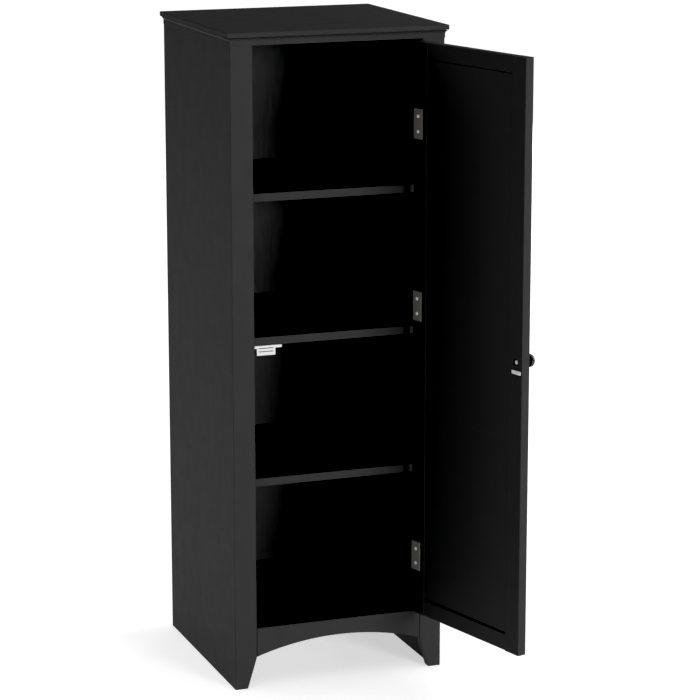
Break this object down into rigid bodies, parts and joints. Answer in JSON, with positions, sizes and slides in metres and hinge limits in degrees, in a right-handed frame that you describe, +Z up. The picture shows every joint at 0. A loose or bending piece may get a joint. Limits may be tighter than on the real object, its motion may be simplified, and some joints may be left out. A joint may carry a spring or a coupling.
{
  "type": "pantry cabinet",
  "caption": "Tall narrow pantry cabinet with a face frame, arched apron and tapered feet, shelves inside, and a recessed-panel inset door on wrap-around hinges.",
  "frame": {"origin": "on the floor, under the middle of the whole object's box as it is stored, with its door open by 105 degrees", "axes": "+Z up, +X to the cabinet's right as seen from in front, and -Y out of the front, so the opening faces -Y"},
  "size_m": [0.4912, 0.7568, 1.27],
  "materials": {
    "bare_beech": "bare",
    "black_hardboard": "matt black hardboard",
    "black_paint": "satin black paint on board",
    "black_steel": "blackened",
    "bright_steel": "bright zinc",
    "gloss_black": "gloss",
    "grey_steel": "satin",
    "magnet": "bare ferrite",
    "white_plastic": "satin moulded",
    "zinc_steel": "zinc plated"
  },
  "bodies": {
    "cabinet": {"side_panel_left": "black_paint", "side_panel_right": "black_paint", "bottom_panel": "black_paint", "top_panel": "black_paint", "shelf_lower": "black_paint", "shelf_middle": "black_paint", "shelf_upper": "black_paint", "back_panel": "black_hardboard", "top_board": "black_paint", "front_stile_left": "black_paint", "front_stile_right": "black_paint", "top_rail": "black_paint", "apron": "black_paint", "cornice_front": "black_paint", "cornice_left": "black_paint", "cornice_right": "black_paint", "cam_locks": "zinc_steel", "cam_bolts": "zinc_steel", "panel_dowels": "bare_beech", "frame_dowels": "bare_beech", "shelf_pins": "zinc_steel", "back_panel_nails": "zinc_steel", "top_board_screws": "zinc_steel", "catch_housing": "white_plastic", "catch_magnet": "magnet", "catch_pole_plates": "black_steel", "catch_screws": "bright_steel", "hinge_frame_screws": "bright_steel", "hinge_frame_leaf_top": "grey_steel", "hinge_frame_leaf_middle": "grey_steel", "hinge_frame_leaf_bottom": "grey_steel", "hinge_pin_top": "grey_steel", "hinge_pin_middle": "grey_steel", "hinge_pin_bottom": "grey_steel"},
    "door": {"door_stile_hinge": "black_paint", "door_stile_free": "black_paint", "door_rail_top": "black_paint", "door_rail_bottom": "black_paint", "door_panel": "black_paint", "door_dowels": "bare_beech", "hinge_door_screws": "bright_steel", "knob": "gloss_black", "knob_screw": "bright_steel", "strike_plate": "bright_steel", "strike_screw": "bright_steel", "hinge_door_leaf_top": "grey_steel", "hinge_door_leaf_middle": "grey_steel", "hinge_door_leaf_bottom": "grey_steel"}
  },
  "joints": [
    {"name": "door_hinge", "type": "hinge", "parent": "cabinet", "child": "door", "pos_m": [0.14194, -0.04971, 0.68275], "axis": [0, 0, 1], "range_deg": [-105, 75]}
  ]
}
